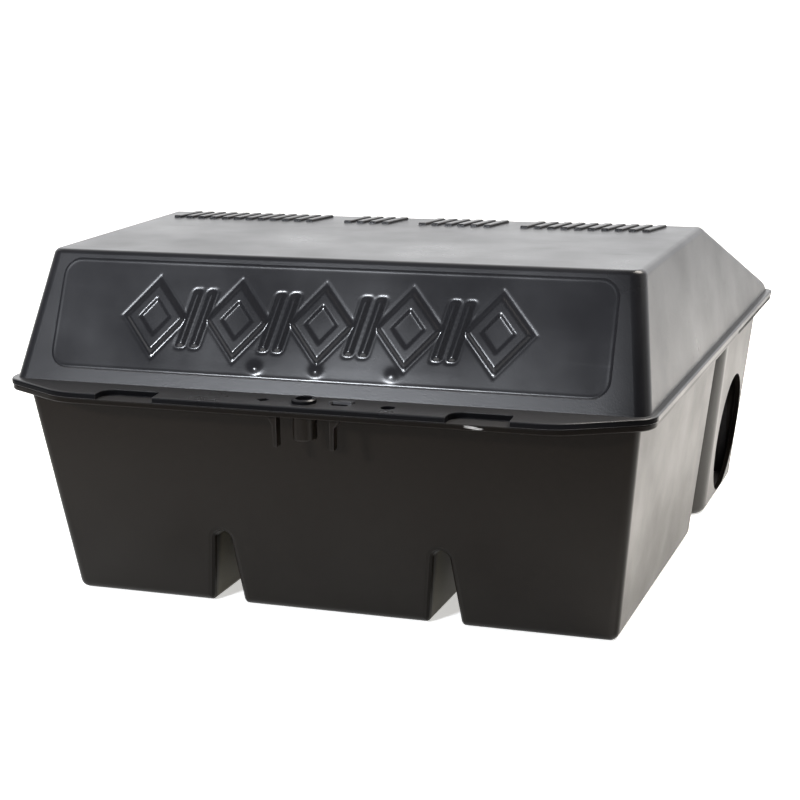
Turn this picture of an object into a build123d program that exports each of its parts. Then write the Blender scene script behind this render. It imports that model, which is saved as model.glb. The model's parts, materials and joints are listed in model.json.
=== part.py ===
from build123d import *
import os

# Tamper-resistant rodent bait station: a moulded base tub with two floor
# channels, two side waists and a rear runway with an entrance at each end,
# under a hinged hip-roof lid with a keyed lock at the middle of the front
# flange.  Millimetres, +Z up, -Y is the lock side, X across the runway.
# The origin is the middle of the overall footprint, on the floor.

os.makedirs("parts", exist_ok=True)

# ---------------------------------------------------------------- dimensions
# flanges shared by base and lid
flange_half = 150.0          # half width over the flanges
flange_front = -165.3        # front edge of the flanges
flange_rear = 160.1          # rear edge of the flanges
chamfer_x = 113.9            # where the front corner chamfers start
chamfer_y = -146.0           # where they meet the sides
flange_round_rear = 4.0
flange_round_side = 11.0     # where the chamfers meet the sides
flange_round_front = 28.0    # where they meet the front edge
base_flange_inset = 0.6      # the base flange is a little smaller than the lid's
base_flange_bottom = 100.0
base_flange_top = 102.5
lid_flange_bottom = 102.65
lid_flange_top = 105.3

# base body, outer faces at the floor and at flange level
wall = 2.5
base_half_bottom = 130.2
base_half_top = 142.9
base_front_bottom = -127.2
base_front_top = -142.3
front_block_rear_bottom = 32.3
front_block_rear_top = 41.0
runway_front_bottom = 65.0
runway_front_top = 62.5
runway_rear_bottom = 147.9
runway_rear_top = 157.4
neck_half_bottom = 40.0
neck_half_top = 45.0
corner_round = 4.5
runway_round_rear = 5.0
runway_round_bottom = 9.5    # the runway's front corners, wider at the floor
runway_round_top = 6.0
foot_round = 4.4
runway_foot_round = 4.2

# floor channels
channel_x = 52.45
channel_half_bottom = 7.15
channel_half_top = 3.8
channel_height = 35.7
channel_lip = 2.8
channel_mouth = ((-0.8, 3.0), (0.0, 3.0), (0.4, 1.5), (1.5, 0.4), (3.0, 0.0))   # depth, growth

# entrances
entrance_r = 31.75
entrance_y = 113.2
entrance_z = 34.3

# anchor holes in the runway floor
anchor_r = 3.25
anchor_x = 70.0
anchor_y = 106.0

# lid body
lid_half_bottom = 147.2
lid_half_top = 138.8
lid_front_bottom = -145.5
lid_front_top = -119.5
lid_top = 161.0
lid_top_rear = 8.6
lid_kink_y = 148.4
lid_kink_z = 111.8
lid_rear_bottom = 154.9
lid_wall = 2.4
lid_corner_round = 6.5
lid_top_round = 3.2
lid_slope_round = 2.6
mark_height = 1.1            # raised slanted bars near the rear edge of the top

# notches in the front edge of the lid flange
notch_x0 = 66.5
notch_x1 = 94.8
notch_y = -154.6

# lock
lock_x = 0.8
lock_y = -156.6
collar_r = 5.4
collar_hole_r = 3.75
collar_top = 107.3
boss_r = 5.2
boss_bottom = 89.2
boss_bore_r = 3.0
post_x = 13.2                # two stiff posts hang under the flange beside the boss
post_shift = 1.0             # middle of the pair, measured from the middle of the flange
post_half = 1.0
post_front = -159.8
post_rear = -155.4
post_bottom = 85.7
post_flare = 3.0

# hinges
hinge_x = 95.0
hinge_y = 161.7
hinge_z = 102.57
knuckle_r = 3.6
knuckle_clear = 4.15
lid_knuckle_half = 9.0
knuckle_gap = 0.3
base_knuckle_length = 10.0
pin_r = 1.5

# bait trays, rods and blocks
tray_x0 = 66.0
tray_x1 = 124.0
tray_front = -120.0
tray_rear = 26.0
tray_top = 24.0
tray_wall = 1.6
tray_floor = 2.7
rod_x = 95.0
rod_front_y = -78.0
rod_rear_y = -8.0
rod_r = 1.6
socket_r = 5.0
socket_top = 14.0
rod_bottom = 4.9
rod_straight = 94.5
rod_leg = 2.0
rod_bend = 6.0
block_half = 16.5
block_length = 38.0
block_hole_r = 2.4


def flange_outline(inset):
    # outline shared by the two flanges, drawn inset mm inside the lid's
    side = flange_half - inset
    front = flange_front + inset
    rear = flange_rear - inset
    with BuildSketch(Plane.XY) as outline:
        with BuildLine():
            Polyline(
                (-chamfer_x, front), (chamfer_x, front), (side, chamfer_y),
                (side, rear), (-side, rear), (-side, chamfer_y),
                close=True,
            )
        make_face()
        fillet(outline.vertices().filter_by(lambda v: v.Y > 0), radius=flange_round_rear)
        fillet(outline.vertices().filter_by(lambda v: abs(v.X) > side - 1 and v.Y < 0), radius=flange_round_side)
        fillet(outline.vertices().filter_by(lambda v: v.Y < front + 0.5), radius=flange_round_front)
    return outline.sketch


def runway_outline(half, front, rear, round_front, round_rear):
    # rectangle with a wider curve at its two front corners
    with BuildSketch(Plane.XY) as outline:
        with Locations((0, (front + rear) / 2)):
            Rectangle(2 * half, rear - front)
        fillet(outline.vertices().group_by(Axis.Y)[0], radius=round_front)
        fillet(outline.vertices().group_by(Axis.Y)[-1], radius=round_rear)
    return outline.sketch


def channel_profile(xc, grow, lip):
    # closed outline of one floor channel (grow = 0) or of its ridge
    hb = channel_half_bottom + grow
    ht = channel_half_top + grow
    zt = channel_height - channel_half_top
    k = 0.7071
    with BuildLine() as outline:
        if lip > 0:
            Line((xc - hb - lip, -1), (xc - hb - lip, 0))
            ThreePointArc((xc - hb - lip, 0), (xc - hb - lip + k * lip, lip - k * lip), (xc - hb, lip))
            Line((xc - hb, lip), (xc - ht, zt))
            ThreePointArc((xc - ht, zt), (xc, zt + ht), (xc + ht, zt))
            Line((xc + ht, zt), (xc + hb, lip))
            ThreePointArc((xc + hb, lip), (xc + hb + lip - k * lip, lip - k * lip), (xc + hb + lip, 0))
            Line((xc + hb + lip, 0), (xc + hb + lip, -1))
            Line((xc + hb + lip, -1), (xc - hb - lip, -1))
        else:
            Line((xc - hb, 0.5), (xc - ht, zt))
            ThreePointArc((xc - ht, zt), (xc, zt + ht), (xc + ht, zt))
            Line((xc + ht, zt), (xc + hb, 0.5))
            Line((xc + hb, 0.5), (xc - hb, 0.5))
    return outline.line


# ---------------------------------------------------------------- base tub
# plane of the sloping front face, seen from outside
front_plane = Plane(
    origin=(0, base_front_bottom, 0), x_dir=(1, 0, 0),
    z_dir=(0, -base_flange_top, base_front_top - base_front_bottom),
)

# outer form of the bait chamber block at the front
with BuildPart() as front_block:
    with BuildSketch(Plane.YZ):
        with BuildLine():
            Polyline(
                (base_front_bottom, 0), (base_front_top, base_flange_top),
                (front_block_rear_top, base_flange_top), (front_block_rear_bottom, 0), close=True,
            )
        make_face()
    extrude(amount=160, both=True)
    with BuildSketch(Plane.XZ):
        with BuildLine():
            Polyline(
                (-base_half_bottom, 0), (-base_half_top, base_flange_top),
                (base_half_top, base_flange_top), (base_half_bottom, 0), close=True,
            )
        make_face()
    extrude(amount=220, both=True, mode=Mode.INTERSECT)
    fillet(front_block.edges().filter_by(lambda e: 40 < e.center().Z < 60), radius=corner_round)
    fillet(front_block.edges().group_by(Axis.Z)[0], radius=foot_round)

# outer form of the runway block at the rear
with BuildPart() as runway_block:
    with BuildSketch(Plane.XY):
        add(runway_outline(base_half_bottom, runway_front_bottom, runway_rear_bottom, runway_round_bottom, runway_round_rear))
    with BuildSketch(Plane.XY.offset(base_flange_top)):
        add(runway_outline(base_half_top, runway_front_top, runway_rear_top, runway_round_top, runway_round_rear))
    loft()
    fillet(runway_block.edges().group_by(Axis.Z)[0], radius=runway_foot_round)

# passage between the two blocks; the waists either side of it act as baffles
with BuildPart() as neck_block:
    with BuildSketch(Plane.XY):
        with Locations((0, 48.5)):
            Rectangle(2 * neck_half_bottom, 49.0)
    with BuildSketch(Plane.XY.offset(base_flange_top)):
        with Locations((0, 52.0)):
            Rectangle(2 * neck_half_top, 40.0)
    loft()

# inner cavities
with BuildPart() as cavities:
    with BuildSketch(Plane.XY.offset(wall)):
        with Locations((0, (base_front_bottom + front_block_rear_bottom) / 2)):
            RectangleRounded(2 * (base_half_bottom - wall + 0.3), front_block_rear_bottom - base_front_bottom - 2 * wall + 0.6, corner_round - wall)
    with BuildSketch(Plane.XY.offset(base_flange_top + 1)):
        with Locations((0, (base_front_top + front_block_rear_top) / 2)):
            RectangleRounded(2 * (base_half_top - wall + 0.1), front_block_rear_top - base_front_top - 2 * wall, corner_round - wall)
    loft()
    with BuildSketch(Plane.XY.offset(wall)):
        add(runway_outline(base_half_bottom - wall + 0.3, runway_front_bottom + wall - 0.15, runway_rear_bottom - wall + 0.15, runway_round_bottom - wall, runway_round_rear - wall))
    with BuildSketch(Plane.XY.offset(base_flange_top + 1)):
        add(runway_outline(base_half_top - wall + 0.1, runway_front_top + wall, runway_rear_top - wall, runway_round_top - wall, runway_round_rear - wall))
    loft()
    with BuildSketch(Plane.XY.offset(wall)):
        with Locations((0, 48.5)):
            Rectangle(2 * (neck_half_bottom - wall), 60.0)
    with BuildSketch(Plane.XY.offset(base_flange_top + 1)):
        with Locations((0, 52.0)):
            Rectangle(2 * (neck_half_top - wall), 54.0)
    loft()


# ridges over the floor channels, kept inside the front block
with BuildPart() as ridges:
    for side in (-1, 1):
        with BuildSketch(Plane.XZ.offset(150)):
            add(channel_profile(side * channel_x, 2.3, 0))
            make_face()
        extrude(amount=-190)
    add(front_block.part, mode=Mode.INTERSECT)

# flange plate of the base, which also caps the waists
with BuildPart() as base_flange:
    with BuildSketch(Plane.XY.offset(base_flange_bottom)):
        add(flange_outline(base_flange_inset))
    extrude(amount=base_flange_top - base_flange_bottom)
    fillet(base_flange.edges().group_by(Axis.Z)[0], radius=0.8)
    fillet(base_flange.edges().group_by(Axis.Z)[-1], radius=0.4)

with BuildPart() as base_tub:
    add(front_block.part)
    add(runway_block.part)
    add(neck_block.part)
    add(base_flange.part)
    add(cavities.part, mode=Mode.SUBTRACT)
    add(ridges.part)
    # two floor channels, open to the front and into the waists, part the block into three feet
    for side in (-1, 1):
        with BuildSketch(Plane.XZ.offset(150)):
            add(channel_profile(side * channel_x, 0.0, channel_lip))
            make_face()
        extrude(amount=-197, mode=Mode.SUBTRACT)
        # rounded mouth, in steps from the front face inwards
        for k in range(len(channel_mouth) - 1):
            for depth, grow in channel_mouth[k:k + 2]:
                with BuildSketch(front_plane.offset(-depth)):
                    add(channel_profile(side * channel_x, grow, channel_lip + 0.6 * grow))
                    make_face()
            loft(ruled=True, mode=Mode.SUBTRACT)
    # round entrances through both ends of the runway
    with BuildSketch(Plane.YZ):
        with Locations((entrance_y, entrance_z)):
            Circle(entrance_r)
    extrude(amount=160, both=True, mode=Mode.SUBTRACT)
    # anchor holes
    with BuildSketch(Plane.XY.offset(-1)):
        with Locations((anchor_x, anchor_y), (-anchor_x, anchor_y)):
            Circle(anchor_r)
    extrude(amount=6, mode=Mode.SUBTRACT)
    # lock boss and the two posts under the front flange
    with BuildSketch(Plane.XY.offset(boss_bottom)):
        with Locations((lock_x, lock_y)):
            Circle(boss_r)
    extrude(amount=base_flange_bottom - boss_bottom + 0.5)
    chamfer(
        base_tub.edges().filter_by(GeomType.CIRCLE).filter_by(lambda e: abs(e.center().Z - boss_bottom) < 0.01), length=0.6
    )
    for side in (-1, 1):
        with BuildSketch(Plane.XZ.offset(-post_rear)):
            with BuildLine():
                Polyline(
                    (post_shift + side * (post_x - post_half), base_flange_bottom + 0.5),
                    (post_shift + side * (post_x + post_half + post_flare), base_flange_bottom + 0.5),
                    (post_shift + side * (post_x + post_half + post_flare), base_flange_bottom - 0.6),
                    (post_shift + side * (post_x + post_half), base_flange_bottom - 4.6),
                    (post_shift + side * (post_x + post_half - 0.3), post_bottom),
                    (post_shift + side * (post_x - post_half), post_bottom),
                    close=True,
                )
            make_face()
        extrude(amount=post_rear - post_front)
    with BuildSketch(Plane.XY.offset(90.7)):
        with Locations((lock_x, lock_y)):
            Circle(boss_bore_r)
    extrude(amount=20, mode=Mode.SUBTRACT)
    with BuildSketch(Plane.XY.offset(101.1)):
        with Locations((lock_x, lock_y)):
            Circle(3.9)
    extrude(amount=5, mode=Mode.SUBTRACT)
    # outer hinge knuckles
    for side in (-1, 1):
        for end in (-1, 1):
            x0 = side * hinge_x + end * (lid_knuckle_half + knuckle_gap)
            with BuildSketch(Plane.YZ.offset(x0)):
                with Locations((hinge_y, hinge_z)):
                    Circle(knuckle_r)
            extrude(amount=end * base_knuckle_length)
    for side in (-1, 1):
        # room for the lid's knuckle
        with BuildSketch(Plane.YZ.offset(side * hinge_x - lid_knuckle_half - knuckle_gap)):
            with Locations((hinge_y, hinge_z)):
                Circle(knuckle_clear)
        extrude(amount=2 * (lid_knuckle_half + knuckle_gap), mode=Mode.SUBTRACT)
        # pin bore
        with BuildSketch(Plane.YZ.offset(side * hinge_x - 25)):
            with Locations((hinge_y, hinge_z)):
                Circle(pin_r + 0.02)
        extrude(amount=50, mode=Mode.SUBTRACT)

base_tub.part.label = "base_tub"
export_step(base_tub.part, "parts/base_tub.step")

# ---------------------------------------------------------------- lid
lid_front_slope = (lid_front_top - lid_front_bottom) / (lid_top - lid_flange_top)
lid_side_slope = (lid_half_bottom - lid_half_top) / (lid_top - lid_flange_top)
drop = lid_flange_top - lid_flange_bottom


def roof_profile(inset, low):
    # side-on outline of the roof, drawn on the YZ plane
    depth = lid_flange_top - low
    with BuildLine() as outline:
        Polyline(
            (lid_front_bottom - depth * lid_front_slope + inset * 1.1, low),
            (lid_front_top + inset * 0.66, lid_top - inset),
            (lid_top_rear - inset * 0.18, lid_top - inset),
            (lid_kink_y - inset * 0.6, lid_kink_z - inset * 0.75),
            (lid_rear_bottom - inset * 1.4, lid_flange_top),
            (lid_rear_bottom - inset * 1.4, low),
            close=True,
        )
    return outline.line


with BuildPart() as roof_outer:
    with BuildSketch(Plane.YZ):
        add(roof_profile(0.0, lid_flange_bottom))
        make_face()
    extrude(amount=150, both=True)
    with BuildSketch(Plane.XZ):
        with BuildLine():
            Polyline(
                (-lid_half_bottom - drop * lid_side_slope, lid_flange_bottom), (-lid_half_top, lid_top),
                (lid_half_top, lid_top), (lid_half_bottom + drop * lid_side_slope, lid_flange_bottom),
                close=True,
            )
        make_face()
    extrude(amount=220, both=True, mode=Mode.INTERSECT)
    # the two front corner edges, then the edges round the top
    corner_edges = roof_outer.edges().filter_by(
        lambda e: e.center().Y < -120 and abs(e.center().X) > 100 and 110 < e.center().Z < 155
    )
    fillet(corner_edges, radius=lid_corner_round)
    top_edges = roof_outer.edges().filter_by(lambda e: e.center().Z > lid_top - 0.3)
    fillet(top_edges, radius=lid_top_round)
    slope_edges = roof_outer.edges().filter_by(
        lambda e: 10 < e.center().Y < 148 and abs(e.center().X) > 100 and 112 < e.center().Z < 158
    )
    fillet(slope_edges, radius=lid_slope_round)

with BuildPart() as roof_inner:
    with BuildSketch(Plane.YZ):
        add(roof_profile(lid_wall, lid_flange_bottom - 1))
        make_face()
    extrude(amount=150, both=True)
    with BuildSketch(Plane.XZ):
        with BuildLine():
            Polyline(
                (-lid_half_bottom - (drop + 1) * lid_side_slope + lid_wall, lid_flange_bottom - 1),
                (-lid_half_top + lid_wall, lid_top), (lid_half_top - lid_wall, lid_top),
                (lid_half_bottom + (drop + 1) * lid_side_slope - lid_wall, lid_flange_bottom - 1),
                close=True,
            )
        make_face()
    extrude(amount=220, both=True, mode=Mode.INTERSECT)
    inner_corner = roof_inner.edges().filter_by(
        lambda e: e.center().Y < -115 and abs(e.center().X) > 100 and 110 < e.center().Z < 150
    )
    fillet(inner_corner, radius=lid_corner_round - lid_wall)

with BuildPart() as lid:
    with BuildSketch(Plane.XY.offset(lid_flange_bottom)):
        add(flange_outline(0.0))
    extrude(amount=lid_flange_top - lid_flange_bottom)
    fillet(lid.edges().group_by(Axis.Z)[0], radius=0.4)
    fillet(lid.edges().group_by(Axis.Z)[-1], radius=0.9)
    add(roof_outer.part)
    # low slanted bars along the rear edge of the top, four groups
    with BuildSketch(Plane.XY.offset(lid_top - 0.4)):
        for x_start, bars in ((-128.5, 12), (-35.5, 4), (3.5, 6), (55.0, 10)):
            for i in range(bars):
                x = x_start + i * 6.6
                with BuildLine():
                    Polyline((x, -12.6), (x + 3.5, -12.6), (x + 7.9, 4.6), (x + 4.4, 4.6), close=True)
                make_face()
    extrude(amount=mark_height + 0.4)
    mark_edges = lid.edges().filter_by(
        lambda e: e.center().Z > lid_top + mark_height - 0.05 and abs(e.center().Y + 4) < 9.5
    )
    chamfer(mark_edges, length=0.35)
    add(roof_inner.part, mode=Mode.SUBTRACT)
    # two notches in the front edge of the flange, each with a wide curve at its left end
    for x0, x1 in ((-notch_x1, -notch_x0), (notch_x0, notch_x1)):
        with BuildSketch(Plane.XY.offset(lid_flange_bottom - 1)):
            with BuildLine():
                Line((x0, -170), (x0, notch_y - 6))
                ThreePointArc((x0, notch_y - 6), (x0 + 1.9, notch_y - 1.9), (x0 + 6.5, notch_y))
                Line((x0 + 6.5, notch_y), (x1 - 3.4, notch_y))
                ThreePointArc((x1 - 3.4, notch_y), (x1 - 1.9, notch_y - 0.7), (x1 - 1.4, notch_y - 2.2))
                Line((x1 - 1.4, notch_y - 2.2), (x1, -170))
                Line((x1, -170), (x0, -170))
            make_face()
        extrude(amount=drop + 2, mode=Mode.SUBTRACT)
    # raised collar round the lock
    with BuildSketch(Plane.XY.offset(lid_flange_top - 0.5)):
        with Locations((lock_x, lock_y)):
            Circle(collar_r)
    extrude(amount=collar_top - lid_flange_top + 0.5)
    chamfer(lid.edges().filter_by(GeomType.CIRCLE).filter_by(lambda e: abs(e.center().Z - collar_top) < 0.01), length=0.5)
    with BuildSketch(Plane.XY.offset(104.0)):
        with Locations((lock_x, lock_y)):
            Circle(collar_hole_r)
    extrude(amount=6, mode=Mode.SUBTRACT)
    with BuildSketch(Plane.XY.offset(100)):
        with Locations((lock_x, lock_y)):
            Circle(2.1)
    extrude(amount=6, mode=Mode.SUBTRACT)
    # small openings either side of the lock: diamond, slot with two low ribs behind it, round hole
    with BuildSketch(Plane.XY.offset(lid_flange_top - 0.5)):
        with Locations((17.6, -154.6)):
            SlotOverall(9.0, 1.2)
        with Locations((18.4, -152.6)):
            SlotOverall(8.2, 1.0)
        with Locations((12.9, -155.2)):
            SlotOverall(3.2, 1.0, rotation=65)
    extrude(amount=1.5)
    with BuildSketch(Plane.XY.offset(100)):
        with BuildLine():
            Polyline((-21.6, -156.1), (-18.4, -159.0), (-15.2, -156.1), (-18.4, -153.2), close=True)
        make_face()
        with Locations((17.1, -157.0)):
            SlotOverall(7.8, 2.8)
        with Locations((38.5, -156.1)):
            Circle(3.2)
    extrude(amount=8, mode=Mode.SUBTRACT)
    # inner hinge knuckles
    for side in (-1, 1):
        for end in (-1, 1):
            x0 = side * hinge_x + end * lid_knuckle_half
            with BuildSketch(Plane.YZ.offset(x0)):
                with Locations((hinge_y, hinge_z)):
                    Circle(knuckle_clear)
            extrude(amount=end * (base_knuckle_length + 2 * knuckle_gap), mode=Mode.SUBTRACT)
        with BuildSketch(Plane.YZ.offset(side * hinge_x - lid_knuckle_half)):
            with Locations((hinge_y, hinge_z)):
                Circle(knuckle_r)
        extrude(amount=2 * lid_knuckle_half)
        with BuildSketch(Plane.YZ.offset(side * hinge_x - 25)):
            with Locations((hinge_y, hinge_z)):
                Circle(pin_r + 0.07)
        extrude(amount=50, mode=Mode.SUBTRACT)

lid.part.label = "lid"
export_step(lid.part, "parts/lid.step")

# ---------------------------------------------------------------- hinge pins
with BuildPart() as hinge_pins:
    for side in (-1, 1):
        with BuildSketch(Plane.YZ.offset(side * hinge_x - 19.0)):
            with Locations((hinge_y, hinge_z)):
                Circle(pin_r)
        extrude(amount=38.0)
hinge_pins.part.label = "hinge_pins"
export_step(hinge_pins.part, "parts/hinge_pins.step")

# ---------------------------------------------------------------- lock
# captive quarter-turn stud with a recessed hexagon socket
with BuildPart() as lock_stud:
    with BuildSketch(Plane.XY.offset(104.05)):
        with Locations((lock_x, lock_y)):
            Circle(3.45)
    extrude(amount=1.35)
    chamfer(lock_stud.edges().group_by(Axis.Z)[-1], length=0.3)
    with BuildSketch(Plane.XY.offset(91.6)):
        with Locations((lock_x, lock_y)):
            Circle(1.95)
    extrude(amount=12.9)
    chamfer(lock_stud.edges().group_by(Axis.Z)[0], length=0.4)
    with BuildSketch(Plane.XY.offset(103.2)):
        with Locations((lock_x, lock_y)):
            RegularPolygon(radius=1.5, side_count=6)
    extrude(amount=3, mode=Mode.SUBTRACT)
lock_stud.part.label = "lock_stud"
export_step(lock_stud.part, "parts/lock_stud.step")

# retaining ring that keeps the stud in the lid
with BuildPart() as lock_retaining_ring:
    with BuildSketch(Plane.XY.offset(101.6)):
        with Locations((lock_x, lock_y)):
            Circle(3.3)
            Circle(1.97, mode=Mode.SUBTRACT)
        with Locations((lock_x, lock_y - 3)):
            Rectangle(1.6, 4.5, mode=Mode.SUBTRACT)
    extrude(amount=0.8)
lock_retaining_ring.part.label = "lock_retaining_ring"
export_step(lock_retaining_ring.part, "parts/lock_retaining_ring.step")

# brass sleeve pressed into the base boss
with BuildPart() as lock_insert:
    with BuildSketch(Plane.XY.offset(90.8)):
        with Locations((lock_x, lock_y)):
            Circle(2.98)
            Circle(2.42, mode=Mode.SUBTRACT)
    extrude(amount=9.2)
lock_insert.part.label = "lock_insert"
export_step(lock_insert.part, "parts/lock_insert.step")


# ---------------------------------------------------------------- bait trays
def tray(side):
    xc = side * (tray_x0 + tray_x1) / 2
    w = tray_x1 - tray_x0
    yc = (tray_front + tray_rear) / 2
    l = tray_rear - tray_front
    with BuildPart() as t:
        with BuildSketch(Plane.XY.offset(tray_floor)):
            with Locations((xc, yc)):
                RectangleRounded(w - 3.0, l - 4.0, 6.0)
        with BuildSketch(Plane.XY.offset(tray_top)):
            with Locations((xc, yc)):
                RectangleRounded(w, l, 7.0)
        loft()
        with BuildSketch(Plane.XY.offset(tray_floor + tray_wall)):
            with Locations((xc, yc)):
                RectangleRounded(w - 3.0 - 2 * tray_wall, l - 4.0 - 2 * tray_wall, 4.4)
        with BuildSketch(Plane.XY.offset(tray_top + 0.5)):
            with Locations((xc, yc)):
                RectangleRounded(w - 2 * tray_wall, l - 2 * tray_wall, 5.4)
        loft(mode=Mode.SUBTRACT)
        # rim turned outwards
        with BuildSketch(Plane.XY.offset(tray_top - 1.4)):
            with Locations((xc, yc)):
                RectangleRounded(w + 2.0, l + 3.0, 8.0)
                RectangleRounded(w - 2 * tray_wall, l - 2 * tray_wall, 5.4, mode=Mode.SUBTRACT)
        extrude(amount=1.4)
        # rod sockets
        with BuildSketch(Plane.XY.offset(tray_floor + 0.2)):
            with Locations((side * rod_x, rod_front_y), (side * rod_x, rod_rear_y)):
                Circle(socket_r)
        extrude(amount=socket_top - tray_floor - 0.2)
        with BuildSketch(Plane.XY.offset(tray_floor + tray_wall)):
            with Locations((side * rod_x, rod_front_y), (side * rod_x, rod_rear_y)):
                Circle(rod_r + 0.1)
        extrude(amount=30, mode=Mode.SUBTRACT)
    return t.part


tray_left = tray(-1)
tray_left.label = "bait_tray_left"
export_step(tray_left, "parts/bait_tray_left.step")
tray_right = tray(1)
tray_right.label = "bait_tray_right"
export_step(tray_right, "parts/bait_tray_right.step")


# ---------------------------------------------------------------- bait rods
# bright wire rod with a cane-shaped top to pull it by
def rod(x, y, side):
    with BuildPart() as r:
        with BuildLine(Plane.XZ.offset(-y)):
            Line((x, rod_bottom), (x, rod_straight))
            ThreePointArc(
                (x, rod_straight), (x - side * rod_bend, rod_straight + rod_bend), (x - side * 2 * rod_bend, rod_straight)
            )
            Line((x - side * 2 * rod_bend, rod_straight), (x - side * 2 * rod_bend, rod_straight - rod_leg))
        with BuildSketch(Plane.XY.offset(rod_bottom)):
            with Locations((x, y)):
                Circle(rod_r)
        sweep()
    return r.part


# two extruded bait blocks on each rod, fluted at the corners, with a centre hole
def blocks(x, y):
    with BuildPart() as b:
        for k in range(2):
            z0 = socket_top + 0.2 + k * (block_length + 0.4)
            with BuildSketch(Plane.XY.offset(z0)):
                with Locations((x, y)):
                    RectangleRounded(2 * block_half, 2 * block_half, 4.0)
                    Circle(block_hole_r, mode=Mode.SUBTRACT)
                for dx, dy in ((1, 0), (-1, 0), (0, 1), (0, -1)):
                    with Locations((x + dx * (block_half + 1.2), y + dy * (block_half + 1.2))):
                        Circle(3.4, mode=Mode.SUBTRACT)
            extrude(amount=block_length)
    return b.part


for place, x, y, side in (
    ("left_front", -rod_x, rod_front_y, -1), ("left_rear", -rod_x, rod_rear_y, -1),
    ("right_front", rod_x, rod_front_y, 1), ("right_rear", rod_x, rod_rear_y, 1),
):
    wire = rod(x, y, side)
    wire.label = "bait_rod_" + place
    export_step(wire, "parts/bait_rod_" + place + ".step")
    pair = blocks(x, y)
    pair.label = "bait_blocks_" + place
    export_step(pair, "parts/bait_blocks_" + place + ".step")
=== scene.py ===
import json
import math

import bmesh
import bpy
import numpy as np
from mathutils import Matrix, Vector, noise


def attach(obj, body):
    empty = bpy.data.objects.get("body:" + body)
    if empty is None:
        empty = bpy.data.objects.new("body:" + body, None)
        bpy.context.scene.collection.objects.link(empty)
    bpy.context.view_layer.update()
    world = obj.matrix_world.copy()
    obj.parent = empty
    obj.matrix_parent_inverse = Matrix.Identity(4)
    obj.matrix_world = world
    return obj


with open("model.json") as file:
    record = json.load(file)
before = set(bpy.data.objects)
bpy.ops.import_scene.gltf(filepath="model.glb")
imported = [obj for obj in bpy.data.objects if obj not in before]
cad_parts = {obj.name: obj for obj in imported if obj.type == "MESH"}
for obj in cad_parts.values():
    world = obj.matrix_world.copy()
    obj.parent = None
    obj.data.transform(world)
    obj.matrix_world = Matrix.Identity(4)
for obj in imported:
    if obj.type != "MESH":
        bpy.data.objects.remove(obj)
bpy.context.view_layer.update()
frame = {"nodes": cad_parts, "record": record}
scene = bpy.context.scene
nodes = frame["nodes"]

# ---------------------------------------------------------------- camera
AZ, EL, ROLL = math.radians(19.91), math.radians(13.491), math.radians(-1.17)
target = Vector((-0.0278, 0.0421, 0.0584))
back = Vector((math.sin(AZ) * math.cos(EL), -math.cos(AZ) * math.cos(EL), math.sin(EL)))
fwd = -back
right = fwd.cross(Vector((0, 0, 1))).normalized()
up = right.cross(fwd)
cx = right * math.cos(ROLL) + up * math.sin(ROLL)
cy = -right * math.sin(ROLL) + up * math.cos(ROLL)
pos = target + back * 0.9997
cam_data = bpy.data.cameras.new("camera")
cam_data.sensor_width = 36.0
cam_data.lens = 84.42
cam_data.clip_start = 0.05
cam_data.clip_end = 20.0
cam = bpy.data.objects.new("camera", cam_data)
scene.collection.objects.link(cam)
cam.matrix_world = Matrix((
    (cx.x, cy.x, back.x, pos.x),
    (cx.y, cy.y, back.y, pos.y),
    (cx.z, cy.z, back.z, pos.z),
    (0, 0, 0, 1),
))
scene.camera = cam
scene.view_settings.view_transform = "Standard"
scene.view_settings.look = "None"
scene.view_settings.exposure = 0.0


# ---------------------------------------------------------------- stage and light
FRONT_SKY, BACK_SKY = 0.29, 1.83
FLOOR_GLOW = 0.55
BACK_LIGHT, RIGHT_LIGHT, SIDE_LIGHT, FRONT_LIGHT = 4.2, 18.0, 7.0, 22.5


def area(name, loc, aim, size, energy, colour=(1, 1, 1), size_y=None):
    data = bpy.data.lights.new(name, "AREA")
    data.shape = "RECTANGLE"
    data.size = size
    data.size_y = size_y or size
    data.energy = energy
    data.color = colour
    ob = bpy.data.objects.new(name, data)
    scene.collection.objects.link(ob)
    ob.location = loc
    direction = Vector(aim) - Vector(loc)
    ob.rotation_euler = direction.to_track_quat("-Z", "Y").to_euler()
    return ob


world = bpy.data.worlds.new("world")
scene.world = world
world.use_nodes = True
wt = world.node_tree
wbg = wt.nodes["Background"]
wtc = wt.nodes.new("ShaderNodeTexCoord")
wsep = wt.nodes.new("ShaderNodeSeparateXYZ")
wt.links.new(wtc.outputs["Generated"], wsep.inputs[0])
# white all round, brighter behind the object (+Y) than in front of it
wr = wt.nodes.new("ShaderNodeMapRange")
wr.interpolation_type = "SMOOTHSTEP"
wr.inputs["From Min"].default_value = 0.0
wr.inputs["From Max"].default_value = 0.85
wr.inputs["To Min"].default_value = FRONT_SKY
wr.inputs["To Max"].default_value = BACK_SKY
wt.links.new(wsep.outputs["Y"], wr.inputs["Value"])
wt.links.new(wr.outputs["Result"], wbg.inputs[1])
wbg.inputs[0].default_value = (0.985, 0.99, 1.0, 1)

bm = bmesh.new()
for x, y in ((-6, -6), (6, -6), (6, 6), (-6, 6)):
    bm.verts.new((x, y, -0.0002))
bm.faces.new(bm.verts)
me = bpy.data.meshes.new("floor")
bm.to_mesh(me)
bm.free()
floor = bpy.data.objects.new("floor", me)
scene.collection.objects.link(floor)
fm = bpy.data.materials.new("floor")
fm.use_nodes = True
fb = fm.node_tree.nodes["Principled BSDF"]
fb.inputs["Base Color"].default_value = (0.9, 0.895, 0.88, 1)
fb.inputs["Roughness"].default_value = 0.8
fb.inputs["Specular IOR Level"].default_value = 0.2
fb.inputs["Emission Color"].default_value = (1.0, 0.99, 0.965, 1)
fb.inputs["Emission Strength"].default_value = FLOOR_GLOW
me.materials.append(fm)

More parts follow.
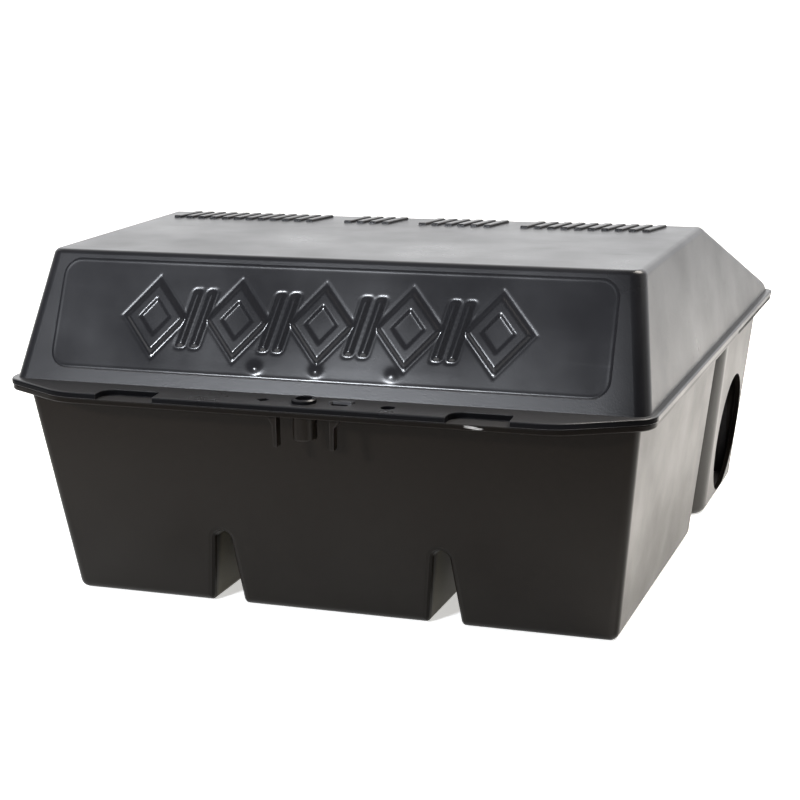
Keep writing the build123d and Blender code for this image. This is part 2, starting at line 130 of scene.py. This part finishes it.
area("back_soft", (0.3, 1.5, 1.5), (0.2, 0.9, 0.0), 2.2, BACK_LIGHT, (1.0, 0.99, 0.97), 1.6)
area("right_soft", (0.46, 0.16, 0.85), (0.40, 0.16, 0.0), 0.5, RIGHT_LIGHT, (1.0, 0.935, 0.86))
area("side_soft", (1.7, 0.2, 0.9), (0.1, 0.1, 0.05), 1.0, SIDE_LIGHT, (1.0, 0.985, 0.96))
area("front_soft", (-0.452, -1.262, 0.600), (-0.015, -0.145, 0.11), 0.17, FRONT_LIGHT, (0.90, 0.935, 1.0), 0.10)


# ---------------------------------------------------------------- materials
def mat_nodes(name):
    m = bpy.data.materials.new(name)
    m.use_nodes = True
    nt = m.node_tree
    return m, nt, nt.nodes["Principled BSDF"]


def N(nt, kind, **props):
    n = nt.nodes.new(kind)
    for k, v in props.items():
        setattr(n, k, v)
    return n


def within(nt, value, low, high, soft):
    # 1 between low and high, fading to 0 over soft
    a = N(nt, "ShaderNodeMapRange")
    a.inputs["From Min"].default_value = low - soft
    a.inputs["From Max"].default_value = low
    nt.links.new(value, a.inputs["Value"])
    b = N(nt, "ShaderNodeMapRange")
    b.inputs["From Min"].default_value = high + soft
    b.inputs["From Max"].default_value = high
    nt.links.new(value, b.inputs["Value"])
    return times(nt, a.outputs["Result"], b.outputs["Result"])


def times(nt, first, *rest):
    for other in rest:
        m = N(nt, "ShaderNodeMath", operation="MULTIPLY")
        nt.links.new(first, m.inputs[0])
        if isinstance(other, float):
            m.inputs[1].default_value = other
        else:
            nt.links.new(other, m.inputs[1])
        first = m.outputs[0]
    return first


def blend(nt, factor, value, to):
    # value faded towards the constant to
    m = N(nt, "ShaderNodeMix", data_type="FLOAT")
    nt.links.new(factor, m.inputs["Factor"])
    if isinstance(value, float):
        m.inputs["A"].default_value = value
    else:
        nt.links.new(value, m.inputs["A"])
    m.inputs["B"].default_value = to
    return m.outputs["Result"]


def plastic(name, colour, rough, grain=0.00035, grain_strength=0.25, wave=0.25, wear=0.35, ior=1.45, dust_and_shade=0.0, nick_and_glint=None,
            edge_shade=None, shelf=None, entrance_shade=None, side_shade=None, recess=None, scuff=0.10, flank=None, gap_shadow_and_channels=None):
    """Moulded polyolefin: fine spark grain, slow waviness of the wall, paler rubbed edges, faint handling scuffs."""
    m, nt, p = mat_nodes(name)
    tc = N(nt, "ShaderNodeTexCoord")
    # grain and waviness in object space
    g = N(nt, "ShaderNodeTexNoise")
    g.inputs["Scale"].default_value = 1.0 / grain / 2.2
    g.inputs["Detail"].default_value = 2.0
    g.inputs["Roughness"].default_value = 0.6
    nt.links.new(tc.outputs["Object"], g.inputs["Vector"])
    w = N(nt, "ShaderNodeTexNoise")
    w.inputs["Scale"].default_value = 14.0
    w.inputs["Detail"].default_value = 1.5
    nt.links.new(tc.outputs["Object"], w.inputs["Vector"])
    b1 = N(nt, "ShaderNodeBump")
    b1.inputs["Strength"].default_value = wave
    b1.inputs["Distance"].default_value = 0.004
    nt.links.new(w.outputs["Fac"], b1.inputs["Height"])
    b2 = N(nt, "ShaderNodeBump")
    b2.inputs["Strength"].default_value = grain_strength
    b2.inputs["Distance"].default_value = 0.0002
    nt.links.new(g.outputs["Fac"], b2.inputs["Height"])
    nt.links.new(b1.outputs["Normal"], b2.inputs["Normal"])
    nt.links.new(b2.outputs["Normal"], p.inputs["Normal"])
    # blotches in the roughness, plus long faint scuffs
    bl = N(nt, "ShaderNodeTexNoise")
    bl.inputs["Scale"].default_value = 22.0
    bl.inputs["Detail"].default_value = 5.0
    nt.links.new(tc.outputs["Object"], bl.inputs["Vector"])
    mp = N(nt, "ShaderNodeMapping")
    mp.inputs["Scale"].default_value = (25, 420, 420)
    mp.inputs["Rotation"].default_value = (0.2, 0.35, 0.5)
    nt.links.new(tc.outputs["Object"], mp.inputs["Vector"])
    sc = N(nt, "ShaderNodeTexNoise")
    sc.inputs["Scale"].default_value = 1.0
    sc.inputs["Detail"].default_value = 2.0
    nt.links.new(mp.outputs["Vector"], sc.inputs["Vector"])
    scr = N(nt, "ShaderNodeMapRange")
    scr.inputs["From Min"].default_value = 0.66
    scr.inputs["From Max"].default_value = 0.78
    scr.inputs["To Min"].default_value = 0.0
    scr.inputs["To Max"].default_value = 1.0
    nt.links.new(sc.outputs["Fac"], scr.inputs["Value"])
    r1 = N(nt, "ShaderNodeMapRange")
    r1.inputs["From Min"].default_value = 0.3
    r1.inputs["From Max"].default_value = 0.7
    r1.inputs["To Min"].default_value = rough - 0.05
    r1.inputs["To Max"].default_value = rough + 0.06
    nt.links.new(bl.outputs["Fac"], r1.inputs["Value"])
    ra = N(nt, "ShaderNodeMath", operation="MULTIPLY_ADD")
    nt.links.new(scr.outputs["Result"], ra.inputs[0])
    ra.inputs[1].default_value = scuff
    nt.links.new(r1.outputs["Result"], ra.inputs[2])
    nt.links.new(ra.outputs[0], p.inputs["Roughness"])
    # colour: two close shades, paler where edges are rubbed
    cr = N(nt, "ShaderNodeMix", data_type="RGBA")
    cr.inputs["A"].default_value = (*[c * 0.86 for c in colour], 1)
    cr.inputs["B"].default_value = (*[c * 1.16 for c in colour], 1)
    nt.links.new(bl.outputs["Fac"], cr.inputs["Factor"])
    bev = N(nt, "ShaderNodeBevel", samples=4)
    bev.inputs["Radius"].default_value = 0.0009
    geo = N(nt, "ShaderNodeNewGeometry")
    dot = N(nt, "ShaderNodeVectorMath", operation="DOT_PRODUCT")
    nt.links.new(bev.outputs["Normal"], dot.inputs[0])
    nt.links.new(geo.outputs["Normal"], dot.inputs[1])
    ed = N(nt, "ShaderNodeMapRange")
    ed.inputs["From Min"].default_value = 0.985
    ed.inputs["From Max"].default_value = 0.90
    ed.inputs["To Min"].default_value = 0.0
    ed.inputs["To Max"].default_value = wear
    nt.links.new(dot.outputs["Value"], ed.inputs["Value"])
    em = N(nt, "ShaderNodeMath", operation="MULTIPLY")
    nt.links.new(ed.outputs["Result"], em.inputs[0])
    nt.links.new(bl.outputs["Fac"], em.inputs[1])
    cw = N(nt, "ShaderNodeMix", data_type="RGBA")
    nt.links.new(em.outputs[0], cw.inputs["Factor"])
    nt.links.new(cr.outputs["Result"], cw.inputs["A"])
    cw.inputs["B"].default_value = (0.16, 0.155, 0.15, 1)
    last = cw.outputs["Result"]
    sep = N(nt, "ShaderNodeSeparateXYZ")
    nt.links.new(tc.outputs["Object"], sep.inputs[0])
    level = 0.5
    sepn = N(nt, "ShaderNodeSeparateXYZ")
    nt.links.new(tc.outputs["Normal"], sepn.inputs[0])
    if dust_and_shade:
        # colour paler towards the ground: partly a film of dust, partly painted light standing for light from the floor
        # below and shade under the flange above; the specular level also rises towards the ground
        dz = N(nt, "ShaderNodeMapRange")
        dz.inputs["From Min"].default_value = 0.098
        dz.inputs["From Max"].default_value = 0.0
        dz.inputs["To Min"].default_value = 0.05
        dz.inputs["To Max"].default_value = 1.0
        nt.links.new(sep.outputs["Z"], dz.inputs["Value"])
        dm = N(nt, "ShaderNodeMath", operation="MULTIPLY")
        nt.links.new(dz.outputs["Result"], dm.inputs[0])
        nt.links.new(bl.outputs["Fac"], dm.inputs[1])
        dc = N(nt, "ShaderNodeMix", data_type="RGBA")
        nt.links.new(dm.outputs[0], dc.inputs["Factor"])
        nt.links.new(last, dc.inputs["A"])
        dc.inputs["B"].default_value = (dust_and_shade * 1.12, dust_and_shade, dust_and_shade * 0.84, 1)
        last = dc.outputs["Result"]
        sl = N(nt, "ShaderNodeMapRange")
        sl.inputs["From Min"].default_value = 0.100
        sl.inputs["From Max"].default_value = 0.015
        sl.inputs["To Min"].default_value = 0.18
        sl.inputs["To Max"].default_value = 0.40
        nt.links.new(sep.outputs["Z"], sl.inputs["Value"])
        level = sl.outputs["Result"]
    if flank:
        # the right-hand flank: sheen set along its height or its length (axis, from, to, value, value)
        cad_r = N(nt, "ShaderNodeMapRange")
        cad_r.inputs["From Min"].default_value = flank[1]
        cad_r.inputs["From Max"].default_value = flank[2]
        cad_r.inputs["To Min"].default_value = flank[3]
        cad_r.inputs["To Max"].default_value = flank[4]
        nt.links.new(sep.outputs[flank[0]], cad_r.inputs["Value"])
        fm = N(nt, "ShaderNodeMix", data_type="FLOAT")
        nt.links.new(within(nt, sepn.outputs["X"], 0.72, 1.1, 0.2), fm.inputs["Factor"])
        if isinstance(level, float):
            fm.inputs["A"].default_value = level
        else:
            nt.links.new(level, fm.inputs["A"])
        nt.links.new(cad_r.outputs["Result"], fm.inputs["B"])
        level = fm.outputs["Result"]
    if side_shade:
        # painted shade: the front's colour and specular level are darkened from one side to the other
        fr = N(nt, "ShaderNodeMapRange")
        fr.inputs["From Min"].default_value = side_shade[0]
        fr.inputs["From Max"].default_value = side_shade[1]
        fr.inputs["To Min"].default_value = side_shade[2]
        fr.inputs["To Max"].default_value = side_shade[3]
        nt.links.new(sep.outputs["X"], fr.inputs["Value"])
        front = times(nt, within(nt, sep.outputs["Y"], -0.2, side_shade[4], 0.003), within(nt, sepn.outputs["Y"], -1.1, -0.5, 0.25))
        inv = N(nt, "ShaderNodeMix", data_type="FLOAT")
        nt.links.new(front, inv.inputs["Factor"])
        inv.inputs["A"].default_value = 1.0
        nt.links.new(fr.outputs["Result"], inv.inputs["B"])
        level = times(nt, level, inv.outputs["Result"])
        # painted shade multiplied into the base colour
        cf = N(nt, "ShaderNodeMix", data_type="RGBA", blend_type="MULTIPLY")
        cf.inputs["Factor"].default_value = 1.0
        nt.links.new(last, cf.inputs["A"])
        nt.links.new(inv.outputs["Result"], cf.inputs["B"])
        last = cf.outputs["Result"]
    if shelf:
        # settled dust on a ledge: (height, albedo)
        flat = within(nt, sepn.outputs["Z"], 0.9, 1.1, 0.1)
        at = within(nt, sep.outputs["Z"], shelf[0] - 0.0004, shelf[0] + 0.0004, 0.0002)
        front = within(nt, sep.outputs["Y"], -0.2, shelf[4], 0.004)
        speck = N(nt, "ShaderNodeMapRange")
        speck.inputs["From Min"].default_value = 0.25
        speck.inputs["From Max"].default_value = 0.75
        speck.inputs["To Min"].default_value = 0.55
        speck.inputs["To Max"].default_value = 1.0
        nt.links.new(g.outputs["Fac"], speck.inputs["Value"])
        ax = N(nt, "ShaderNodeMath", operation="ABSOLUTE")
        nt.links.new(sep.outputs["X"], ax.inputs[0])
        reach = within(nt, ax.outputs[0], shelf[2], shelf[3], 0.003)
        dm2 = times(nt, flat, at, front, reach, speck.outputs["Result"])
        sc2 = N(nt, "ShaderNodeMix", data_type="RGBA")
        nt.links.new(dm2, sc2.inputs["Factor"])
        nt.links.new(last, sc2.inputs["A"])
        sc2.inputs["B"].default_value = (shelf[1], shelf[1], shelf[1] * 1.03, 1)
        last = sc2.outputs["Result"]
    shade_mask = None
    if edge_shade:
        # painted shade on the vertical faces of the flange: (low, high, strength, collar and slot too)
        up_n = within(nt, sepn.outputs["Z"], -0.35, 0.50, 0.15)
        band = within(nt, sep.outputs["Z"], edge_shade[0], edge_shade[1], 0.0002)
        front = within(nt, sep.outputs["Y"], -0.2, -0.142, 0.004)
        shade_mask = times(nt, up_n, band, front, edge_shade[2])
        if edge_shade[3]:
            # painted shade also on the wall of the collar round the lock
            band2 = within(nt, sep.outputs["Z"], 0.1055, 0.1075, 0.0001)
            near = within(nt, sep.outputs["X"], -0.006, 0.0076, 0.0002)
            ahead = within(nt, sep.outputs["Y"], -0.2, -0.1496, 0.0003)
            mx2 = N(nt, "ShaderNodeMath", operation="MAXIMUM")
            nt.links.new(shade_mask, mx2.inputs[0])
            nt.links.new(times(nt, up_n, band2, near, ahead), mx2.inputs[1])
            shade_mask = mx2.outputs[0]
            # painted shade on the wall of the slot, and a painted highlight that makes the ribs behind it pale
            slot_x = within(nt, sep.outputs["X"], 0.0132, 0.0211, 0.0002)
            slot_y = within(nt, sep.outputs["Y"], -0.1600, -0.1556, 0.0001)
            slot_z = within(nt, sep.outputs["Z"], 0.1020, 0.1054, 0.0001)
            mx4 = N(nt, "ShaderNodeMath", operation="MAXIMUM")
            nt.links.new(shade_mask, mx4.inputs[0])
            nt.links.new(times(nt, up_n, slot_x, slot_y, slot_z), mx4.inputs[1])
            shade_mask = mx4.outputs[0]
            rib_highlight = times(
                nt, within(nt, sep.outputs["X"], 0.0110, 0.0226, 0.0002), within(nt, sep.outputs["Y"], -0.1568, -0.1515, 0.0002),
                within(nt, sep.outputs["Z"], 0.1056, 0.1070, 0.0003), 0.8,
            )
            rb = N(nt, "ShaderNodeMix", data_type="RGBA")
            nt.links.new(rib_highlight, rb.inputs["Factor"])
            nt.links.new(last, rb.inputs["A"])
            rb.inputs["B"].default_value = (0.055, 0.055, 0.058, 1)
            last = rb.outputs["Result"]
    if entrance_shade:
        # painted shade on the cut wall of the round entrances: (y, z, radius)
        d1 = N(nt, "ShaderNodeVectorMath", operation="MULTIPLY")
        nt.links.new(tc.outputs["Object"], d1.inputs[0])
        d1.inputs[1].default_value = (0.0, 1.0, 1.0)
        d2 = N(nt, "ShaderNodeVectorMath", operation="DISTANCE")
        nt.links.new(d1.outputs["Vector"], d2.inputs[0])
        d2.inputs[1].default_value = (0.0, entrance_shade[0], entrance_shade[1])
        ring = within(nt, d2.outputs["Value"], entrance_shade[2] - 0.0012, entrance_shade[2] + 0.00002, 0.00004)
        if shade_mask is None:
            shade_mask = ring
        else:
            mx = N(nt, "ShaderNodeMath", operation="MAXIMUM")
            nt.links.new(shade_mask, mx.inputs[0])
            nt.links.new(ring, mx.inputs[1])
            shade_mask = mx.outputs[0]
    if gap_shadow_and_channels:
        # painted shadow under the lid's flange beside the runway, on the side face of the base's flange
        gz = times(
            nt, within(nt, sep.outputs["X"], 0.1460, 0.2, 0.0005), within(nt, sep.outputs["Y"], gap_shadow_and_channels[0], 0.2, gap_shadow_and_channels[1]),
            within(nt, sep.outputs["Z"], 0.1003, 0.1030, 0.0004),
        )
        mx3 = N(nt, "ShaderNodeMath", operation="MAXIMUM")
        nt.links.new(shade_mask, mx3.inputs[0])
        nt.links.new(gz, mx3.inputs[1])
        shade_mask = mx3.outputs[0]
        # walls of the floor channels turned to a paler warm earth tone
        ax = N(nt, "ShaderNodeMath", operation="ABSOLUTE")
        nt.links.new(sep.outputs["X"], ax.inputs[0])
        off = N(nt, "ShaderNodeMath", operation="SUBTRACT")
        nt.links.new(ax.outputs[0], off.inputs[0])
        off.inputs[1].default_value = 0.05245
        sgn = N(nt, "ShaderNodeMath", operation="SIGN")
        nt.links.new(sep.outputs["X"], sgn.inputs[0])
        facing = times(nt, off.outputs[0], sgn.outputs[0], sepn.outputs["X"])
        channel_tint = times(
            nt, within(nt, ax.outputs[0], 0.0435, 0.0610, 0.0005), within(nt, sep.outputs["Z"], -0.01, 0.0335, 0.004),
            within(nt, sep.outputs["Y"], -0.1225, 0.045, 0.004), within(nt, facing, -1.0, -0.0022, 0.0018), 0.75,
        )
        so = N(nt, "ShaderNodeMix", data_type="RGBA")
        nt.links.new(channel_tint, so.inputs["Factor"])
        nt.links.new(last, so.inputs["A"])
        so.inputs["B"].default_value = (0.072, 0.063, 0.040, 1)
        last = so.outputs["Result"]
    if recess:
        # the recess beside the runway paled to a set albedo: (y low, y high, |x| low, albedo); painted light lifts the
        # wall inside the runway to a paler tone than the base
        ax = N(nt, "ShaderNodeMath", operation="ABSOLUTE")
        nt.links.new(sep.outputs["X"], ax.inputs[0])
        recess_tone = times(nt, within(nt, sep.outputs["Y"], recess[0], recess[1], 0.003), within(nt, ax.outputs[0], recess[2], 0.2, 0.016), 0.85)
        rc = N(nt, "ShaderNodeMix", data_type="RGBA")
        nt.links.new(recess_tone, rc.inputs["Factor"])
        nt.links.new(last, rc.inputs["A"])
        rc.inputs["B"].default_value = (recess[3], recess[3], recess[3] * 0.97, 1)
        last = rc.outputs["Result"]
        inner = times(nt, within(nt, ax.outputs[0], -0.1, 0.1279, 0.0002), within(nt, sep.outputs["Y"], 0.095, 0.1466, 0.028), within(nt, sep.outputs["Z"], 0.002, 0.080, 0.018))
        ic = N(nt, "ShaderNodeMix", data_type="RGBA")
        nt.links.new(inner, ic.inputs["Factor"])
        nt.links.new(last, ic.inputs["A"])
        ic.inputs["B"].default_value = (0.0190, 0.0185, 0.0190, 1)
        last = ic.outputs["Result"]
    # painted shade: where the mask above is set, colour goes towards black and the specular level drops to 0.02
    if shade_mask is not None:
        level = blend(nt, shade_mask, level, 0.02)
        dk = N(nt, "ShaderNodeMix", data_type="RGBA")
        nt.links.new(times(nt, shade_mask, 0.7), dk.inputs["Factor"])
        nt.links.new(last, dk.inputs["A"])
        dk.inputs["B"].default_value = (0.001, 0.001, 0.001, 1)
        last = dk.outputs["Result"]
    if isinstance(level, float):
        p.inputs["Specular IOR Level"].default_value = level
    else:
        nt.links.new(level, p.inputs["Specular IOR Level"])
    if nick_and_glint:
        # one whitened nick where the edge has been prised, its pale patch also a painted highlight on the edge's fillet
        sub = N(nt, "ShaderNodeVectorMath", operation="SUBTRACT")
        nt.links.new(tc.outputs["Object"], sub.inputs[0])
        sub.inputs[1].default_value = nick_and_glint[0]
        turn = N(nt, "ShaderNodeVectorRotate", rotation_type="Y_AXIS")
        turn.inputs["Angle"].default_value = nick_and_glint[2]
        nt.links.new(sub.outputs["Vector"], turn.inputs["Vector"])
        div = N(nt, "ShaderNodeVectorMath", operation="DIVIDE")
        nt.links.new(turn.outputs["Vector"], div.inputs[0])
        div.inputs[1].default_value = nick_and_glint[1]
        ln = N(nt, "ShaderNodeVectorMath", operation="LENGTH")
        nt.links.new(div.outputs["Vector"], ln.inputs[0])
        nn = N(nt, "ShaderNodeTexNoise")
        nn.inputs["Scale"].default_value = 1500.0
        nn.inputs["Detail"].default_value = 3.0
        ns = N(nt, "ShaderNodeMapping")
        ns.inputs["Scale"].default_value = (0.3, 1.0, 2.2)
        ns.inputs["Rotation"].default_value = (0.0, -nick_and_glint[2], 0.0)
        nt.links.new(tc.outputs["Object"], ns.inputs["Vector"])
        nt.links.new(ns.outputs["Vector"], nn.inputs["Vector"])
        na = N(nt, "ShaderNodeMath", operation="MULTIPLY_ADD")
        nt.links.new(nn.outputs["Fac"], na.inputs[0])
        na.inputs[1].default_value = 2.6
        nt.links.new(ln.outputs["Value"], na.inputs[2])
        nm = N(nt, "ShaderNodeMapRange")
        nm.inputs["From Min"].default_value = 2.15
        nm.inputs["From Max"].default_value = 1.80
        nm.inputs["To Min"].default_value = 0.0
        nm.inputs["To Max"].default_value = 1.0
        nt.links.new(na.outputs[0], nm.inputs["Value"])
        nc = N(nt, "ShaderNodeMix", data_type="RGBA")
        nt.links.new(nm.outputs["Result"], nc.inputs["Factor"])
        nt.links.new(last, nc.inputs["A"])
        nc.inputs["B"].default_value = (0.25, 0.245, 0.24, 1)
        last = nc.outputs["Result"]
    nt.links.new(last, p.inputs["Base Color"])
    p.inputs["IOR"].default_value = ior
    return m


def metal(name, colour, rough, streak=(40, 40, 900)):
    m, nt, p = mat_nodes(name)
    tc = N(nt, "ShaderNodeTexCoord")
    mp = N(nt, "ShaderNodeMapping")
    mp.inputs["Scale"].default_value = streak
    nt.links.new(tc.outputs["Object"], mp.inputs["Vector"])
    n = N(nt, "ShaderNodeTexNoise")
    n.inputs["Scale"].default_value = 3.0
    n.inputs["Detail"].default_value = 4.0
    nt.links.new(mp.outputs["Vector"], n.inputs["Vector"])
    r = N(nt, "ShaderNodeMapRange")
    r.inputs["To Min"].default_value = rough - 0.08
    r.inputs["To Max"].default_value = rough + 0.1
    nt.links.new(n.outputs["Fac"], r.inputs["Value"])
    nt.links.new(r.outputs["Result"], p.inputs["Roughness"])
    c = N(nt, "ShaderNodeMix", data_type="RGBA")
    c.inputs["A"].default_value = (*[v * 0.8 for v in colour], 1)
    c.inputs["B"].default_value = (*colour, 1)
    nt.links.new(n.outputs["Fac"], c.inputs["Factor"])
    nt.links.new(c.outputs["Result"], p.inputs["Base Color"])
    b = N(nt, "ShaderNodeBump")
    b.inputs["Strength"].default_value = 0.15
    b.inputs["Distance"].default_value = 0.0001
    nt.links.new(n.outputs["Fac"], b.inputs["Height"])
    nt.links.new(b.outputs["Normal"], p.inputs["Normal"])
    p.inputs["Metallic"].default_value = 1.0
    return m


def wax(name, colour):
    m, nt, p = mat_nodes(name)
    tc = N(nt, "ShaderNodeTexCoord")
    v = N(nt, "ShaderNodeTexVoronoi")
    v.inputs["Scale"].default_value = 330.0
    nt.links.new(tc.outputs["Object"], v.inputs["Vector"])
    n = N(nt, "ShaderNodeTexNoise")
    n.inputs["Scale"].default_value = 160.0
    n.inputs["Detail"].default_value = 6.0
    nt.links.new(tc.outputs["Object"], n.inputs["Vector"])
    ramp = N(nt, "ShaderNodeValToRGB")
    ramp.color_ramp.elements[0].position = 0.30
    ramp.color_ramp.elements[0].color = (*[c * 0.45 for c in colour], 1)
    ramp.color_ramp.elements[1].position = 0.62
    ramp.color_ramp.elements[1].color = (*colour, 1)
    e = ramp.color_ramp.elements.new(0.74)
    e.color = (0.34, 0.36, 0.22, 1)
    nt.links.new(n.outputs["Fac"], ramp.inputs["Fac"])
    nt.links.new(ramp.outputs["Color"], p.inputs["Base Color"])
    b = N(nt, "ShaderNodeBump")
    b.inputs["Strength"].default_value = 0.6
    b.inputs["Distance"].default_value = 0.0008
    nt.links.new(v.outputs["Distance"], b.inputs["Height"])
    nt.links.new(b.outputs["Normal"], p.inputs["Normal"])
    p.inputs["Roughness"].default_value = 0.55
    p.inputs["Subsurface Weight"].default_value = 0.15
    p.inputs["Subsurface Radius"].default_value = (0.002, 0.003, 0.002)
    return m


MAT = {
    "base_plastic": plastic(
        "base_plastic", (0.0047, 0.0031, 0.0019), 0.38, grain_strength=0.15, wave=0.04, wear=0.2, ior=1.31, dust_and_shade=0.0105,
        nick_and_glint=((0.0783, -0.1650, 0.1014), (0.0052, 0.0014, 0.0008), math.radians(-6)),
        edge_shade=(0.1004, 0.1022, 0.5, False), shelf=(0.1025, 0.031, 0.0665, 0.0950, -0.1545), entrance_shade=(0.1132, 0.0343, 0.03175), side_shade=(-0.14, 0.14, 0.90, 0.60, -0.1215),
        scuff=0.03, recess=(0.061, 0.0720, 0.133, 0.060), flank=("Z", 0.012, 0.060, 0.19, 0.37), gap_shadow_and_channels=(0.055, 0.004),
    ),
    "lid_plastic": plastic(
        "lid_plastic", (0.0072, 0.0072, 0.0086), 0.31, grain_strength=0.20, wave=0.03, wear=0.2, ior=1.38, scuff=0.05,
        edge_shade=(0.1028, 0.1048, 1.0, True), shelf=(0.1053, 0.028, -0.1, 0.2, -0.135), side_shade=(0.126, 0.141, 1.0, 0.40, -0.1165),
        flank=("Y", -0.14, 0.15, 0.38, 0.25),
    ),
    "lid_panel": plastic("lid_panel", (0.0072, 0.0073, 0.0088), 0.22, grain_strength=0.05, wave=0.05, wear=0.0, ior=1.38, scuff=0.02),
    "tray_plastic": plastic("tray_plastic", (0.045, 0.045, 0.048), 0.45),
    "pin_steel": metal("pin_steel", (0.55, 0.55, 0.56), 0.32, (900, 40, 40)),
    "lock_steel": metal("lock_steel", (0.10, 0.10, 0.105), 0.5),
    "ring_steel": metal("ring_steel", (0.5, 0.5, 0.5), 0.3),
    "insert_brass": metal("insert_brass", (0.72, 0.52, 0.24), 0.3),
    "rod_steel": metal("rod_steel", (0.62, 0.62, 0.62), 0.22),
    "bait_wax": wax("bait_wax", (0.09, 0.27, 0.16)),
}
slots = {s["node"]: s["material_slot"] for s in frame["record"]["subparts"]}
for name, ob in nodes.items():
    ob.data.materials.clear()
    ob.data.materials.append(MAT[slots[name]])

# ---------------------------------------------------------------- raised panel on the front of the lid
# Plane of the lid's front wall in millimetres: (x, s) to the frame, s up the slope.
FRONT_O = np.array((0.0, -145.5, 105.3))
FRONT_V = np.array((0.0, 0.42298, 0.90613))
FRONT_N = np.array((0.0, -0.90613, 0.42298))


def smooth(t):
    t = np.clip(t, 0.0, 1.0)
    return t * t * (3 - 2 * t)


def rounded_rect(x, s, cx0, cs0, hx, hs, r):
    qx = np.abs(x - cx0) - (hx - r)
    qs = np.abs(s - cs0) - (hs - r)
    return np.hypot(np.maximum(qx, 0), np.maximum(qs, 0)) + np.minimum(np.maximum(qx, qs), 0) - r


def lozenge(x, s, cx0, cs0, a, b):
    d = np.abs(x - cx0) / a + np.abs(s - cs0) / b - 1.0
    return d * a * b / math.hypot(a, b)


def slanted_bar(x, s, cx0, cs0, w, h, lean):
    u = (x - cx0) - lean * (s - cs0)
    return rounded_rect(u, s, 0.0, cs0, w, h, 1.2)


def pillow(d, height, soft):
    # soft-edged relief from a signed distance, negative inside
    return height * smooth(-d / soft)


def panel_height(x, s):
    edge = rounded_rect(x, s, 0.1, 31.9, 130.4, 26.3, 9.0)
    h = -0.18 + 0.42 * smooth(-edge / 0.9)
    h += 0.10 * np.exp(-((edge + 1.3) / 0.5) ** 2)
    # slow sink of a thin wall
    h += 0.10 * np.sin(x / 37.0 + 0.6) * np.sin(s / 21.0) * smooth(-edge / 8.0)
    # generic ornament: lozenges and pairs of slanted bars
    orn = np.full_like(x, 99.0)
    for k, cx0 in enumerate((-80.0, -40.0, 0.0, 40.0, 80.0)):
        orn = np.minimum(orn, lozenge(x, s, cx0, 31.6, 15.5, 18.0))
    low = np.full_like(x, 99.0)
    for cx0 in (-60.0, -20.0, 20.0, 60.0):
        for off in (-3.4, 3.4):
            low = np.minimum(low, slanted_bar(x, s, cx0 + off, 31.6, 2.1, 13.0, 0.22))
    h += pillow(orn, 1.05, 2.4) + pillow(low, 0.85, 1.7)
    inner = np.full_like(x, 99.0)
    for cx0 in (-80.0, -40.0, 0.0, 40.0, 80.0):
        inner = np.minimum(inner, lozenge(x, s, cx0, 31.6, 8.2, 9.6))
    h -= pillow(inner, 0.55, 1.5)
    # narrow sunk line round each raised shape
    both = np.minimum(orn, low)
    h -= 0.16 * np.exp(-((both - 0.7) / 0.6) ** 2)
    # three low blisters under the ornament
    for cx0, r, top in ((-28.6, 3.6, 0.75), (0.1, 3.3, 0.8), (35.0, 3.8, 0.6)):
        d = np.hypot(x - cx0, (s - 11.0) * 1.15)
        h += top * np.exp(-(d / (r * 0.72)) ** 2)
    return h


def make_panel():
    step = 0.55
    xs = np.arange(-132.0, 132.01, step)
    ss = np.arange(4.6, 59.21, step)
    X, S = np.meshgrid(xs, ss)
    H = panel_height(X, S)
    front = FRONT_O + X[..., None] * np.array((1.0, 0, 0)) + S[..., None] * FRONT_V + H[..., None] * FRONT_N
    rows, cols = X.shape
    verts = [tuple(v) for v in (front.reshape(-1, 3) / 1000.0)]
    idx = np.arange(rows * cols).reshape(rows, cols)
    faces = []
    for r in range(rows - 1):
        a, b = idx[r], idx[r + 1]
        for c in range(cols - 1):
            faces.append((int(a[c]), int(a[c + 1]), int(b[c + 1]), int(b[c])))
    # rim and back, 0.9 mm inside the wall
    loop = list(idx[0, :]) + list(idx[1:, -1]) + list(idx[-1, -2::-1]) + list(idx[-2:0:-1, 0])
    base = len(verts)
    for i in loop:
        r, c = divmod(int(i), cols)
        pnt = FRONT_O + X[r, c] * np.array((1.0, 0, 0)) + S[r, c] * FRONT_V - 0.9 * FRONT_N
        verts.append(tuple(pnt / 1000.0))
    n = len(loop)
    for k in range(n):
        k2 = (k + 1) % n
        faces.append((int(loop[k2]), int(loop[k]), base + k, base + k2))
    faces.append(tuple(base + k for k in range(n - 1, -1, -1)))
    me = bpy.data.meshes.new("lid_front_panel")
    me.from_pydata(verts, [], faces)
    me.update()
    for poly in me.polygons:
        poly.use_smooth = True
    ob = bpy.data.objects.new("lid_front_panel", me)
    scene.collection.objects.link(ob)
    return ob


panel = make_panel()
panel.data.materials.append(MAT["lid_panel"])
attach(panel, "lid")
